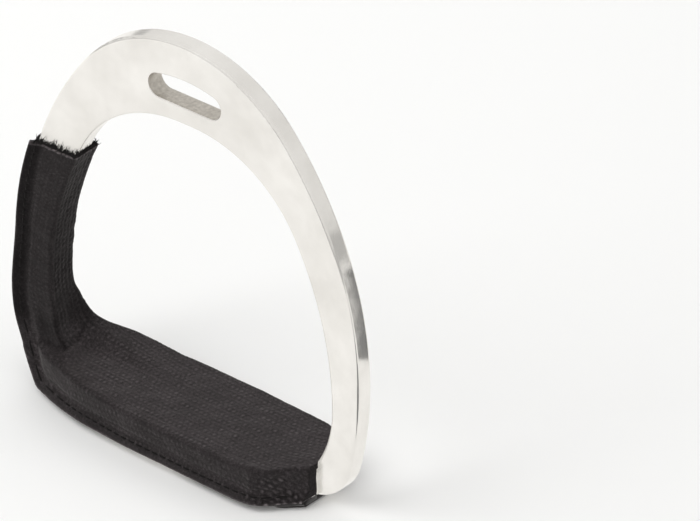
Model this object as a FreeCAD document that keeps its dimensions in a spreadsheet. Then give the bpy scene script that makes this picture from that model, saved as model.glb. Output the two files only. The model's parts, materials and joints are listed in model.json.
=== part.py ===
import FreeCAD, Part

# A stirrup iron with a sewn cover, in millimetres. +Z is up, X runs along the tread and Y from
# front to back. The origin is under the middle of the tread, on the surface the iron stands on.
#
# The iron is one aluminium casting: an arched bow of constant thickness, with an eye for the
# stirrup leather at its top and a wide tread at its foot. A cover wraps the tread and one branch.
# Its webbing panel is on the side of the foot, its vinyl panel on the outside, and both are
# sewn together along a lip that stands out at the front and at the back.

import math
import os

import Sketcher
from FreeCAD import Vector

SIZES = (
    # the bow, seen from the front
    ("bow_thickness", 7.2, "front to back"),
    ("outer_top_height", 156.5, "top of the bow"),
    ("outer_top_radius", 55.0, "crown of the outer edge"),
    ("outer_side_radius", 132.9, "outer edge of a branch"),
    ("outer_half_width", 73.2, "widest point of the outer edge"),
    ("outer_foot_radius", 19.0, "lower corner of the outer edge"),
    ("inner_top_height", 125.6, "underside of the eye plate"),
    ("inner_top_flat", 3.0, "half of the flat under the eye"),
    ("inner_top_radius", 49.0, "shoulders of the inner edge"),
    ("inner_side_radius", 126.7, "inner edge of a branch"),
    ("inner_half_width", 61.1, "half of the inside width"),
    ("inner_foot_radius", 18.0, "where the covered branch meets the tread"),
    ("inner_flare_radius", 45.0, "lower part of the bare branch, flaring inwards"),
    ("inner_flare_height", 38.7, "centre of the flare"),
    ("inner_heel_radius", 8.0, "where the flare meets the tread"),
    ("edge_radius", 1.2, "polished edges of the bow"),
    # the eye for the leather
    ("eye_bottom", 132.6, "flat lower edge, on which the leather bears"),
    ("eye_top", 142.9, "crown of the upper edge"),
    ("eye_top_radius", 48.0, "upper edge"),
    ("eye_end_radius", 4.4, "both ends"),
    ("eye_edge_radius", 0.6, "broken edges of the eye"),
    # the tread, seen from above
    ("tread_bottom", 1.3, "underside of the metal"),
    ("tread_top", 10.3, "top of the metal"),
    ("tread_half_depth", 19.8, "front to back, halved"),
    ("tread_side_radius", 135.0, "bowed front and back edges"),
    ("tread_half_length", 54.0, "plate of the tread, halved"),
    ("tread_corner_radius", 6.0, "corners of the plate"),
    ("pad_height", 3.2, "pad under the webbing"),
    ("pad_half_length", 42.0, "along the tread"),
    ("pad_inset", 0.8, "inside the edge of the tread"),
    # the cover
    ("webbing_thickness", 1.2, "woven panel"),
    ("vinyl_thickness", 1.2, "outer panel"),
    ("cover_gap", 0.1, "between the cover and the metal's edges"),
    ("cover_branch_half_depth", 4.6, "inside the cover, on the branch"),
    ("cover_tread_slack", 0.4, "inside the cover, beside the tread"),
    ("cover_top", 95.8, "open upper end, on the branch"),
    ("cover_end", 52.5, "open end of the tread"),
    ("cover_corner_radius", 14.0, "inside corner between branch and tread"),
    ("seam_depth", 5.1, "from the metal's outer edge in to the seam"),
    ("lip_reach", 2.6, "how far the lips stand out"),
    # the stitching
    ("thread_radius", 0.3, "sewing thread"),
    ("stitch_length", 2.6, "visible run of one stitch"),
    ("stitch_pitch", 3.6, "from one stitch to the next"),
)

FAR = 60.0  # past the front and the back of the part
NEAR = 1e-3  # two lengths that differ by less are the same
LEAST_CUT = 1.0  # the volume that a cut must take off

# directions in a sketch, as angles from its X axis
UP = 0.5 * math.pi
LEFT = math.pi
DOWN = 1.5 * math.pi
TURN = 2 * math.pi

doc = FreeCAD.newDocument("stirrup_iron")
sheet = doc.addObject("Spreadsheet::Sheet", "Sizes")
for row, (alias, value, note) in enumerate(SIZES, start=1):
    sheet.set(f"A{row}", alias)
    sheet.set(f"B{row}", str(value))
    sheet.set(f"C{row}", note)
    sheet.setAlias(f"B{row}", alias)
doc.recompute()


def size(alias):
    return float(sheet.get(alias))


def spare_side(long_side, short_side):
    """The other short side of a right triangle."""
    return math.sqrt(long_side**2 - short_side**2)


# ---------------------------------------------------------------- the bow's tangent arcs


class Outline:
    """One branch's side arc and the foot arc that runs on from it to the tread, both tangent.

    The centres are those of the branch at +X; the branch at -X has them mirrored.
    """

    def __init__(self, side_radius, half_width, side_height, foot_radius, foot_height):
        self.side_radius = side_radius
        self.side_x = half_width - side_radius
        self.side_z = side_height
        self.foot_radius = foot_radius
        self.foot_height = foot_height
        self.foot_z = foot_height + foot_radius
        reach = spare_side(side_radius - foot_radius, self.foot_z - side_height)
        self.foot_x = self.side_x + reach
        self.foot_angle = math.atan2(self.foot_z - side_height, reach)


def tangent_side_height(crown_x, crown_z, crown_radius, side_radius, half_width):
    """The height of the side arc's centre, for a side arc that touches the crown arc inside."""
    across = crown_x - (half_width - side_radius)
    return crown_z - spare_side(side_radius - crown_radius, across)


OUTER_CROWN_Z = size("outer_top_height") - size("outer_top_radius")
INNER_CROWN_Z = size("inner_top_height") - size("inner_top_radius")

OUTER_SIDE_Z = tangent_side_height(
    0.0, OUTER_CROWN_Z, size("outer_top_radius"), size("outer_side_radius"), size("outer_half_width")
)
INNER_SIDE_Z = tangent_side_height(
    size("inner_top_flat"),
    INNER_CROWN_Z,
    size("inner_top_radius"),
    size("inner_side_radius"),
    size("inner_half_width"),
)


def outer_outline(inset):
    return Outline(
        size("outer_side_radius") - inset,
        size("outer_half_width") - inset,
        OUTER_SIDE_Z,
        size("outer_foot_radius") - inset,
        size("tread_bottom") + inset,
    )


def inner_outline(inset, foot_radius, foot_height):
    return Outline(
        size("inner_side_radius") - inset,
        size("inner_half_width") - inset,
        INNER_SIDE_Z,
        foot_radius,
        foot_height,
    )


# ---------------------------------------------------------------- sketch helpers


def origin_plane(body, role):
    for feature in body.Origin.OriginFeatures:
        if feature.Role == role:
            return feature
    raise LookupError(role)


def sketch_on(body, name, role):
    sketch = body.newObject("Sketcher::SketchObject", name)
    sketch.AttachmentSupport = [(origin_plane(body, role), "")]
    sketch.MapMode = "FlatFace"
    return sketch


def add_arc(sketch, centre_x, centre_y, radius, start, end):
    circle = Part.Circle(Vector(centre_x, centre_y, 0), Vector(0, 0, 1), radius)
    return sketch.addGeometry(Part.ArcOfCircle(circle, start, end))


def add_line(sketch, start, end):
    return sketch.addGeometry(Part.LineSegment(Vector(*start, 0), Vector(*end, 0)))


def join(sketch, kind, loop):
    """Join the edges of a loop end to start with one kind of constraint."""
    for this, following in zip(loop, loop[1:] + loop[:1]):
        sketch.addConstraint(Sketcher.Constraint(kind, this, 2, following, 1))


def drive(sketch, name, expression, *constraint):
    """Add a dimension that follows the sheet."""
    index = sketch.addConstraint(Sketcher.Constraint(*constraint))
    sketch.renameConstraint(index, name)
    sketch.setExpression(f"Constraints.{name}", expression)


def centre_on_axis(sketch, edge):
    sketch.addConstraint(Sketcher.Constraint("PointOnObject", edge, 3, -2))


# ---------------------------------------------------------------- the casting


def draw_outer_edge(sketch):
    """Crown, left side, left foot, underside, right foot, right side."""
    edge = outer_outline(0.0)
    crown_radius = size("outer_top_radius")
    crown_end = math.asin(
        (OUTER_CROWN_Z - OUTER_SIDE_Z) / (size("outer_side_radius") - crown_radius)
    )
    crown = add_arc(sketch, 0, OUTER_CROWN_Z, crown_radius, crown_end, LEFT - crown_end)
    left_side = add_arc(
        sketch, -edge.side_x, edge.side_z, edge.side_radius,
        LEFT - crown_end, LEFT - edge.foot_angle,
    )
    left_foot = add_arc(
        sketch, -edge.foot_x, edge.foot_z, edge.foot_radius,
        LEFT - edge.foot_angle, DOWN,
    )
    underside = add_line(
        sketch, (-edge.foot_x, edge.foot_height), (edge.foot_x, edge.foot_height)
    )
    right_foot = add_arc(
        sketch, edge.foot_x, edge.foot_z, edge.foot_radius,
        DOWN, TURN + edge.foot_angle,
    )
    right_side = add_arc(
        sketch, edge.side_x, edge.side_z, edge.side_radius,
        edge.foot_angle, crown_end,
    )
    join(sketch, "Tangent", [crown, left_side, left_foot, underside, right_foot, right_side])
    sketch.addConstraint(Sketcher.Constraint("Horizontal", underside))
    centre_on_axis(sketch, crown)
    drive(sketch, "outer_crown", "Sizes.outer_top_radius", "Radius", crown, crown_radius)
    drive(
        sketch, "outer_crown_height", "Sizes.outer_top_height - Sizes.outer_top_radius",
        "DistanceY", -1, 1, crown, 3, OUTER_CROWN_Z,
    )
    for name, side, foot in (("left", left_side, left_foot), ("right", right_side, right_foot)):
        drive(
            sketch, f"outer_{name}_side", "Sizes.outer_side_radius",
            "Radius", side, edge.side_radius,
        )
        drive(
            sketch, f"outer_{name}_foot", "Sizes.outer_foot_radius",
            "Radius", foot, edge.foot_radius,
        )
    spread = "Sizes.outer_side_radius - Sizes.outer_half_width"
    drive(sketch, "outer_left_centre", spread, "DistanceX", -1, 1, left_side, 3, -edge.side_x)
    drive(sketch, "outer_right_centre", spread, "DistanceX", right_side, 3, -1, 1, -edge.side_x)
    drive(
        sketch, "outer_underside", "Sizes.tread_bottom",
        "DistanceY", -1, 1, underside, 1, edge.foot_height,
    )


def draw_inner_edge(sketch):
    """Flat under the eye, a shoulder and a side on each branch, the covered branch's foot at the
    left, the tread's top, and the bare branch's heel and flare at the right."""
    edge = inner_outline(0.0, size("inner_foot_radius"), size("tread_top"))
    flat = size("inner_top_flat")
    shoulder_radius = size("inner_top_radius")
    shoulder_end = math.asin(
        (INNER_CROWN_Z - INNER_SIDE_Z) / (size("inner_side_radius") - shoulder_radius)
    )
    flare_radius = size("inner_flare_radius")
    flare_z = size("inner_flare_height")
    flare_reach = spare_side(edge.side_radius - flare_radius, flare_z - edge.side_z)
    flare_x = edge.side_x + flare_reach
    side_end = math.atan2(flare_z - edge.side_z, flare_reach)
    heel_radius = size("inner_heel_radius")
    heel_z = edge.foot_height + heel_radius
    heel_reach = spare_side(flare_radius - heel_radius, heel_z - flare_z)
    heel_x = flare_x + heel_reach
    flare_end = math.atan2(heel_z - flare_z, heel_reach)

    top = size("inner_top_height")
    top_flat = add_line(sketch, (flat, top), (-flat, top))
    left_shoulder = add_arc(
        sketch, -flat, INNER_CROWN_Z, shoulder_radius, UP, LEFT - shoulder_end
    )
    left_side = add_arc(
        sketch, -edge.side_x, edge.side_z, edge.side_radius,
        LEFT - shoulder_end, LEFT - edge.foot_angle,
    )
    left_foot = add_arc(
        sketch, -edge.foot_x, edge.foot_z, edge.foot_radius,
        LEFT - edge.foot_angle, DOWN,
    )
    tread_line = add_line(
        sketch, (-edge.foot_x, edge.foot_height), (heel_x, edge.foot_height)
    )
    right_heel = add_arc(sketch, heel_x, heel_z, heel_radius, DOWN, TURN + flare_end)
    right_flare = add_arc(
        sketch, flare_x, flare_z, flare_radius, TURN + flare_end, TURN + side_end
    )
    right_side = add_arc(
        sketch, edge.side_x, edge.side_z, edge.side_radius, side_end, shoulder_end
    )
    right_shoulder = add_arc(sketch, flat, INNER_CROWN_Z, shoulder_radius, shoulder_end, UP)
    loop = [top_flat, left_shoulder, left_side, left_foot,
            tread_line, right_heel, right_flare, right_side, right_shoulder]
    join(sketch, "Tangent", loop)
    for line in (top_flat, tread_line):
        sketch.addConstraint(Sketcher.Constraint("Horizontal", line))
    radii = (
        ("left_shoulder", "inner_top_radius", left_shoulder),
        ("right_shoulder", "inner_top_radius", right_shoulder),
        ("left_side", "inner_side_radius", left_side),
        ("right_side", "inner_side_radius", right_side),
        ("left_foot", "inner_foot_radius", left_foot),
        ("right_flare", "inner_flare_radius", right_flare),
        ("right_heel", "inner_heel_radius", right_heel),
    )
    for name, alias, arc in radii:
        drive(sketch, f"inner_{name}", f"Sizes.{alias}", "Radius", arc, size(alias))
    drive(sketch, "inner_top", "Sizes.inner_top_height", "DistanceY", -1, 1, top_flat, 1, top)
    drive(sketch, "inner_flat_right", "Sizes.inner_top_flat",
          "DistanceX", -1, 1, top_flat, 1, flat)
    drive(sketch, "inner_flat_left", "Sizes.inner_top_flat",
          "DistanceX", top_flat, 2, -1, 1, flat)
    drive(sketch, "inner_tread", "Sizes.tread_top",
          "DistanceY", -1, 1, tread_line, 1, edge.foot_height)
    drive(sketch, "inner_flare_centre", "Sizes.inner_flare_height",
          "DistanceY", -1, 1, right_flare, 3, flare_z)
    spread = "Sizes.inner_side_radius - Sizes.inner_half_width"
    drive(sketch, "inner_left_centre", spread, "DistanceX", -1, 1, left_side, 3, -edge.side_x)
    drive(sketch, "inner_right_centre", spread, "DistanceX", right_side, 3, -1, 1, -edge.side_x)


def draw_eye(sketch):
    """The leather's eye: a flat lower edge, round ends and a slightly arched upper edge."""
    end_radius = size("eye_end_radius")
    top_radius = size("eye_top_radius")
    top_centre = size("eye_top") - top_radius
    end_z = size("eye_bottom") + end_radius
    end_x = spare_side(top_radius - end_radius, end_z - top_centre)
    turn = math.atan2(end_z - top_centre, end_x)
    lower = add_line(sketch, (-end_x, size("eye_bottom")), (end_x, size("eye_bottom")))
    right_end = add_arc(sketch, end_x, end_z, end_radius, DOWN, TURN + turn)
    upper = add_arc(sketch, 0, top_centre, top_radius, turn, LEFT - turn)
    left_end = add_arc(sketch, -end_x, end_z, end_radius, LEFT - turn, DOWN)
    join(sketch, "Tangent", [lower, right_end, upper, left_end])
    sketch.addConstraint(Sketcher.Constraint("Horizontal", lower))
    centre_on_axis(sketch, upper)
    drive(sketch, "eye_upper", "Sizes.eye_top_radius", "Radius", upper, top_radius)
    drive(sketch, "eye_upper_height", "Sizes.eye_top - Sizes.eye_top_radius",
          "DistanceY", -1, 1, upper, 3, top_centre)
    drive(sketch, "eye_lower", "Sizes.eye_bottom",
          "DistanceY", -1, 1, lower, 1, size("eye_bottom"))
    for name, arc in (("right", right_end), ("left", left_end)):
        drive(sketch, f"eye_{name}_end", "Sizes.eye_end_radius", "Radius", arc, end_radius)


def draw_tread(sketch):
    """The tread from above: bowed front and back edges and rounded corners at both ends."""
    radius = size("tread_side_radius")
    centre = radius - size("tread_half_depth")
    corner = size("tread_corner_radius")
    end = size("tread_half_length")
    corner_x = end - corner
    reach = spare_side(radius - corner, corner_x)
    corner_y = reach - centre
    turn = math.atan2(reach, corner_x)
    back = add_arc(sketch, 0, -centre, radius, turn, LEFT - turn)
    back_left = add_arc(sketch, -corner_x, corner_y, corner, LEFT - turn, LEFT)
    left = add_line(sketch, (-end, corner_y), (-end, -corner_y))
    front_left = add_arc(sketch, -corner_x, -corner_y, corner, LEFT, LEFT + turn)
    front = add_arc(sketch, 0, centre, radius, LEFT + turn, TURN - turn)
    front_right = add_arc(sketch, corner_x, -corner_y, corner, TURN - turn, TURN)
    right = add_line(sketch, (end, -corner_y), (end, corner_y))
    back_right = add_arc(sketch, corner_x, corner_y, corner, 0, turn)
    join(sketch, "Tangent",
         [back, back_left, left, front_left, front, front_right, right, back_right])
    for line in (left, right):
        sketch.addConstraint(Sketcher.Constraint("Vertical", line))
    for name, arc in (("back", back), ("front", front)):
        centre_on_axis(sketch, arc)
        drive(sketch, f"{name}_side", "Sizes.tread_side_radius", "Radius", arc, radius)
    spread = "Sizes.tread_side_radius - Sizes.tread_half_depth"
    drive(sketch, "back_centre", spread, "DistanceY", back, 3, -1, 1, centre)
    drive(sketch, "front_centre", spread, "DistanceY", -1, 1, front, 3, centre)
    corners = (back_left, front_left, front_right, back_right)
    for number, arc in enumerate(corners, start=1):
        drive(sketch, f"corner_{number}", "Sizes.tread_corner_radius", "Radius", arc, corner)
    drive(sketch, "left_end", "Sizes.tread_half_length", "DistanceX", left, 1, -1, 1, end)
    drive(sketch, "right_end", "Sizes.tread_half_length", "DistanceX", -1, 1, right, 1, end)


def cut_through(body, name, sketch):
    """Cut a sketch through the whole body, both ways, and make sure it took something off."""
    before = body.Shape.Volume
    cut = body.newObject("PartDesign::Pocket", name)
    cut.Profile = sketch
    cut.Type = "ThroughAll"
    cut.Midplane = True
    doc.recompute()
    if cut.Shape.Volume > before - LEAST_CUT:
        raise RuntimeError(f"{name} cut nothing")
    return cut


def round_edges(body, base, name, alias, chosen):
    """Round the edges of the body that the test picks."""
    names = [
        f"Edge{number}"
        for number, edge in enumerate(base.Shape.Edges, start=1)
        if chosen(edge)
    ]
    fillet = body.newObject("PartDesign::Fillet", name)
    fillet.Base = (base, names)
    fillet.setExpression("Radius", f"Sizes.{alias}")
    doc.recompute()
    return fillet


def on_bow_face(edge):
    """Is the edge on the front or back face of the bow?"""
    box = edge.BoundBox
    return box.YLength < NEAR and abs(abs(box.Center.y) - size("bow_thickness") / 2) < NEAR


def is_eye_edge(edge):
    box = edge.BoundBox
    in_eye = box.ZMin > size("eye_bottom") - NEAR and box.ZMax < size("eye_top") + NEAR
    return on_bow_face(edge) and in_eye and box.XMax < size("eye_top_radius") / 2


def make_iron():
    body = doc.addObject("PartDesign::Body", "stirrup_iron")
    profile = sketch_on(body, "bow_profile", "XZ_Plane")
    draw_outer_edge(profile)
    draw_inner_edge(profile)
    bow = body.newObject("PartDesign::Pad", "bow")
    bow.Profile = profile
    bow.Midplane = True
    bow.setExpression("Length", "Sizes.bow_thickness")
    doc.recompute()
    round_edges(body, bow, "bow_edges", "edge_radius", on_bow_face)

    plan = sketch_on(body, "tread_plan", "XY_Plane")
    plan.setExpression("AttachmentOffset.Base.z", "Sizes.tread_bottom")
    draw_tread(plan)
    tread = body.newObject("PartDesign::Pad", "tread")
    tread.Profile = plan
    tread.setExpression("Length", "Sizes.tread_top - Sizes.tread_bottom")
    doc.recompute()

    eye = sketch_on(body, "eye_profile", "XZ_Plane")
    draw_eye(eye)
    eye_cut = cut_through(body, "leather_eye", eye)
    round_edges(body, eye_cut, "eye_edges", "eye_edge_radius", is_eye_edge)
    return body


# ---------------------------------------------------------------- the tread pad


def make_pad():
    body = doc.addObject("PartDesign::Body", "tread_pad")
    sketch = sketch_on(body, "pad_plan", "XY_Plane")
    sketch.setExpression("AttachmentOffset.Base.z", "Sizes.tread_top")
    radius = size("tread_side_radius")
    centre = radius - size("tread_half_depth") + size("pad_inset")
    half = size("pad_half_length")
    turn = math.acos(half / radius)
    edge_y = radius * math.sin(turn) - centre
    back = add_arc(sketch, 0, -centre, radius, turn, LEFT - turn)
    left = add_line(sketch, (-half, edge_y), (-half, -edge_y))
    front = add_arc(sketch, 0, centre, radius, LEFT + turn, TURN - turn)
    right = add_line(sketch, (half, -edge_y), (half, edge_y))
    join(sketch, "Coincident", [back, left, front, right])
    for line in (left, right):
        sketch.addConstraint(Sketcher.Constraint("Vertical", line))
    for name, arc in (("back", back), ("front", front)):
        centre_on_axis(sketch, arc)
        drive(sketch, f"{name}_side", "Sizes.tread_side_radius", "Radius", arc, radius)
    spread = "Sizes.tread_side_radius - Sizes.tread_half_depth + Sizes.pad_inset"
    drive(sketch, "back_centre", spread, "DistanceY", back, 3, -1, 1, centre)
    drive(sketch, "front_centre", spread, "DistanceY", -1, 1, front, 3, centre)
    drive(sketch, "left_end", "Sizes.pad_half_length", "DistanceX", left, 1, -1, 1, half)
    drive(sketch, "right_end", "Sizes.pad_half_length", "DistanceX", -1, 1, right, 1, half)
    pad = body.newObject("PartDesign::Pad", "pad_sheet")
    pad.Profile = sketch
    pad.setExpression("Length", "Sizes.pad_height")
    doc.recompute()
    return body


# ---------------------------------------------------------------- the cover's two panels


def arc_edge(centre_x, centre_z, radius, start, end):
    """An arc in the XZ plane, from one angle to the other, angles from +X towards +Z."""
    def at(angle):
        return Vector(centre_x + radius * math.cos(angle), 0, centre_z + radius * math.sin(angle))
    return Part.Arc(at(start), at((start + end) / 2), at(end)).toShape()


def line_edge(start, end):
    return Part.LineSegment(start, end).toShape()


def cover_path(edge, flat_end):
    """The edges along one edge of the bow, from the cover's upper end down the branch at -X,
    round the foot and along the tread as far as flat_end."""
    top = LEFT - math.asin((size("cover_top") - edge.side_z) / edge.side_radius)
    foot = LEFT - edge.foot_angle
    return [
        arc_edge(-edge.side_x, edge.side_z, edge.side_radius, top, foot),
        arc_edge(-edge.foot_x, edge.foot_z, edge.foot_radius, foot, DOWN),
        line_edge(
            Vector(-edge.foot_x, 0, edge.foot_height), Vector(flat_end, 0, edge.foot_height)
        ),
    ]


def inner_cover_path(inset):
    """The path along the opening's side, which lies on the pad and ends over the far heel."""
    rise = inset - size("cover_gap")
    level = size("tread_top") + size("pad_height") + inset
    edge = inner_outline(inset, size("cover_corner_radius") - rise, level)
    return cover_path(edge, size("cover_end"))


def outer_cover_path(inset):
    """The path along the outside, which climbs a little way round the far foot."""
    edge = outer_outline(inset)
    rise = math.asin((size("cover_end") - edge.foot_x) / edge.foot_radius)
    climb = arc_edge(edge.foot_x, edge.foot_z, edge.foot_radius, DOWN, DOWN + rise)
    return cover_path(edge, edge.foot_x) + [climb]


def slab_between(inner_path, outer_path):
    """The space between two paths, extended well past the front and the back."""
    starts = [path[0].valueAt(path[0].FirstParameter) for path in (inner_path, outer_path)]
    ends = [path[-1].valueAt(path[-1].LastParameter) for path in (inner_path, outer_path)]
    edges = inner_path + outer_path + [line_edge(*starts), line_edge(*ends)]
    wire = Part.Wire(Part.__sortEdges__(edges))
    face = Part.Face(wire)
    face.translate(Vector(0, -FAR, 0))
    return face.extrude(Vector(0, 2 * FAR, 0))


COVER_MIDDLE_RADIUS = 600.0  # the cover's front and back edges are fuller than the metal's
COVER_MIDDLE_LENGTH = 40.0
COVER_END_RADIUS = 16.0  # its rounded free end
SHOULDER_HEIGHT = 16.0  # above this the cover's inside is only as deep as the branch
BELOW = 5.0  # how far the cutting solids start under the part


def plan_start(spread):
    """Where the bowed tread runs out into the strip of the branch, left of the middle."""
    radius = size("tread_side_radius") + size("cover_tread_slack") + spread
    half = size("tread_half_depth") + size("cover_tread_slack") + spread
    return -spare_side(radius, radius - half + size("cover_branch_half_depth") + spread)


def plan_half_depth(x, spread):
    """Half of the cover's inside depth at x along the tread, moved out by spread."""
    half = size("tread_half_depth") + size("cover_tread_slack") + spread
    if x <= plan_start(spread):
        return size("cover_branch_half_depth") + spread
    if x <= 0:
        radius = size("tread_side_radius") + size("cover_tread_slack") + spread
        return half - radius + spare_side(radius, x)
    radius = COVER_MIDDLE_RADIUS + spread
    if x <= COVER_MIDDLE_LENGTH:
        return half - radius + spare_side(radius, x)
    turn = math.asin(COVER_MIDDLE_LENGTH / radius)
    corner = COVER_END_RADIUS + spread
    centre_x = COVER_MIDDLE_LENGTH - corner * math.sin(turn)
    centre_y = half - radius + (radius - corner) * math.cos(turn)
    return centre_y + spare_side(corner, x - centre_x)


def plan_edges(spread, hand):
    """The cover's edge seen from above, at the back (hand 1) or the front (hand -1)."""
    def at(x):
        return Vector(x, hand * plan_half_depth(x, spread), -BELOW)

    start = plan_start(spread)
    end = size("cover_end")
    edges = [line_edge(at(-size("outer_half_width") - BELOW), at(start))]
    for left, right in ((start, 0.0), (0.0, COVER_MIDDLE_LENGTH), (COVER_MIDDLE_LENGTH, end)):
        edges.append(Part.Arc(at(left), at((left + right) / 2), at(right)).toShape())
    return edges


def depth_solid(spread):
    """All that lies within the cover's depth: the bowed tread low down, and above its shoulder
    the narrow strip of the branch. The shoulder moves out by spread too, so it has a roof."""
    edges = []
    for hand in (1, -1):
        edges += plan_edges(spread, hand)
    left = size("outer_half_width") + BELOW
    for x in (-left, size("cover_end")):
        depth = plan_half_depth(x, spread)
        edges.append(line_edge(Vector(x, depth, -BELOW), Vector(x, -depth, -BELOW)))
    outline = Part.Wire(Part.__sortEdges__(edges))
    shoulder = SHOULDER_HEIGHT + spread
    tread = Part.Face(outline).extrude(Vector(0, 0, shoulder + BELOW))
    half = size("cover_branch_half_depth") + spread
    branch = Part.makeBox(
        left, 2 * half, size("cover_top") + BELOW - shoulder, Vector(-left, -half, shoulder)
    )
    return tread.fuse(branch)


def one_solid(shape, name):
    """The single solid that a boolean result holds, with faces that join smoothly merged."""
    shape = shape.removeSplitter()
    if len(shape.Solids) != 1:
        raise RuntimeError(f"{name} has {len(shape.Solids)} solids")
    return shape.Solids[0]


def add_feature(name, shape):
    feature = doc.addObject("Part::Feature", name)
    feature.Shape = shape
    feature.Placement = FreeCAD.Placement()
    return feature


def make_panel(name, wall_paths, lip_paths, thickness):
    """One panel of the cover: a wall round its side of the metal, and a lip front and back."""
    gap = size("cover_gap")
    hollow = slab_between(inner_cover_path(gap), outer_cover_path(-gap))
    hollow = hollow.common(depth_solid(0.0))
    wall = slab_between(*wall_paths).common(depth_solid(thickness))
    lip = slab_between(*lip_paths).common(depth_solid(thickness + size("lip_reach")))
    return add_feature(name, one_solid(wall.fuse(lip).cut(hollow), name))


def make_webbing():
    thickness = size("webbing_thickness")
    seam = size("seam_depth")
    wall = inner_cover_path(size("cover_gap") + thickness), outer_cover_path(seam)
    lip = outer_cover_path(seam + thickness), outer_cover_path(seam)
    return make_panel("webbing_panel", wall, lip, thickness)


def make_vinyl():
    thickness = size("vinyl_thickness")
    seam = size("seam_depth")
    wall = outer_cover_path(seam), outer_cover_path(-size("cover_gap") - thickness)
    lip = outer_cover_path(seam), outer_cover_path(seam - thickness)
    return make_panel("vinyl_panel", wall, lip, thickness)


# ---------------------------------------------------------------- the seams' threads

THREAD_CLEARANCE = 0.08  # keeps a straight stitch off the curved lip


def seam_points(inset, hand):
    """Points along a seam, half a stitch pitch apart, on one face of the lips."""
    spread = size("webbing_thickness") + size("lip_reach") / 2
    along = Part.Wire(outer_cover_path(inset))
    count = 2 * int(along.Length / size("stitch_pitch"))
    points = []
    for point in along.discretize(Number=count + 1):
        depth = size("cover_branch_half_depth") + spread
        if point.z < SHOULDER_HEIGHT:
            depth = plan_half_depth(point.x, spread)
        points.append(Vector(point.x, hand * depth, point.z))
    return points


def make_thread(name, inset, hand):
    """The visible runs of one thread of a seam, one short solid for each stitch."""
    points = seam_points(inset, hand)
    stitches = []
    for before, middle, after in zip(points[0:-2:2], points[1:-1:2], points[2::2]):
        along = (after - before).normalize()
        start = middle - along * (size("stitch_length") / 2)
        stitches.append(
            Part.makeCylinder(size("thread_radius"), size("stitch_length"), start, along)
        )
    return add_feature(name, Part.makeCompound(stitches))


def make_threads():
    """A lockstitch seam has two threads: the needle's on the webbing, the bobbin's below."""
    seam = size("seam_depth")
    standing_off = size("thread_radius") + THREAD_CLEARANCE
    needle = seam + size("webbing_thickness") + standing_off
    bobbin = seam - size("vinyl_thickness") - standing_off
    return [
        make_thread(f"{place}_{thread}_thread", inset, hand)
        for place, hand in (("front", -1), ("back", 1))
        for thread, inset in (("needle", needle), ("bobbin", bobbin))
    ]


# ---------------------------------------------------------------- build, check and write

parts = [make_iron(), make_pad(), make_webbing(), make_vinyl()] + make_threads()
doc.recompute()

for item in doc.Objects:
    if "Invalid" in item.State or "Error" in item.State:
        raise RuntimeError(f"{item.Label} failed: {item.State}")

os.makedirs("parts", exist_ok=True)
for part in parts:
    shape = part.Shape
    if shape.isNull() or not shape.isValid():
        raise RuntimeError(f"{part.Label} has no valid shape")
    box = shape.BoundBox
    print(
        f"{part.Label}: {len(shape.Solids)} solid(s), {shape.Volume:.0f} mm3, "
        f"x {box.XMin:.1f}..{box.XMax:.1f} y {box.YMin:.1f}..{box.YMax:.1f} "
        f"z {box.ZMin:.1f}..{box.ZMax:.1f}"
    )
    shape.exportStep(f"parts/{part.Label}.step")
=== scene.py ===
import json
import math

import bmesh
import bpy
import numpy as np
from mathutils import Matrix, Vector


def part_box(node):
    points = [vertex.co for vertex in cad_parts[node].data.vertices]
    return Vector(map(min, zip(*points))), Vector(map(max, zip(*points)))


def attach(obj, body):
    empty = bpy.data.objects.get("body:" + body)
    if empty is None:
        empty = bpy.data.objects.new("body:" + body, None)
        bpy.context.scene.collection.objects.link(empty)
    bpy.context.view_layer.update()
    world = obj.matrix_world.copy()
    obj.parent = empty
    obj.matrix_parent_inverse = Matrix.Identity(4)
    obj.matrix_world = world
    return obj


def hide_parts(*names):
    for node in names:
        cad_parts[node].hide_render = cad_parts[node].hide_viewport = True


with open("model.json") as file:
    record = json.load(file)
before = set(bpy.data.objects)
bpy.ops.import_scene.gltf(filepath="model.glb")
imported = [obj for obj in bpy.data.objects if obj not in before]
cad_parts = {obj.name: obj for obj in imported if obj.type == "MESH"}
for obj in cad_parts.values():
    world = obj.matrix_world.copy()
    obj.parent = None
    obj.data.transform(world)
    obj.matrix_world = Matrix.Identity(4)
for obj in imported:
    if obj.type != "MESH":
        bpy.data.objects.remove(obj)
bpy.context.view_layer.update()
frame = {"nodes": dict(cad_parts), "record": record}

# A stirrup iron with a sewn cover. The casting is the CAD node; the cover's soft panels, their
# seams and the pad are built here. Lengths below are in millimetres and angles in degrees.
#
# The cover is made of sections across it, one at each station from its top to its free end. The
# inner rail runs down the branch and along the tread on the webbing's face, and the outer rail
# down the outside, round the foot and under the tread on the vinyl's. A point of a section has a
# distance n from the inner rail and a depth y from the iron's middle plane.

MM = 0.001

nodes = frame["nodes"]
mounts = {m["name"]: m for m in frame["record"]["mounts"]}
panel_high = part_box("webbing_panel")[1] / MM

# The free end is turned in against the casting, this far past the CAD panel's end.
END_TURNED_IN = 2.0
COVER_TOP = panel_high.z
COVER_END = panel_high.x + END_TURNED_IN
TREAD_Z = mounts["tread_face"]["pos_m"][2] / MM

# ---------------------------------------------------------------- the cover's two rails

# The branch's arcs in the XZ plane, on the cover's outer faces: centre X, centre Z and radius.
INNER_ARC = (65.6, 40.1, 125.4)
OUTER_ARC = (59.7, 51.46, 134.2)
# The rounded feet of the underside, and the height where the outer arc meets the first one.
FOOT_RADIUS = 20.3
FOOT_X = 49.85
SIDE_END_Z = 14.74
SIDE_COUNT = 24
FOOT_COUNT = 160
# The inside corner is a little squarer than a circle, by this power.
CORNER_RADIUS = 12.6
CORNER_SQUARE = 0.84
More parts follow.
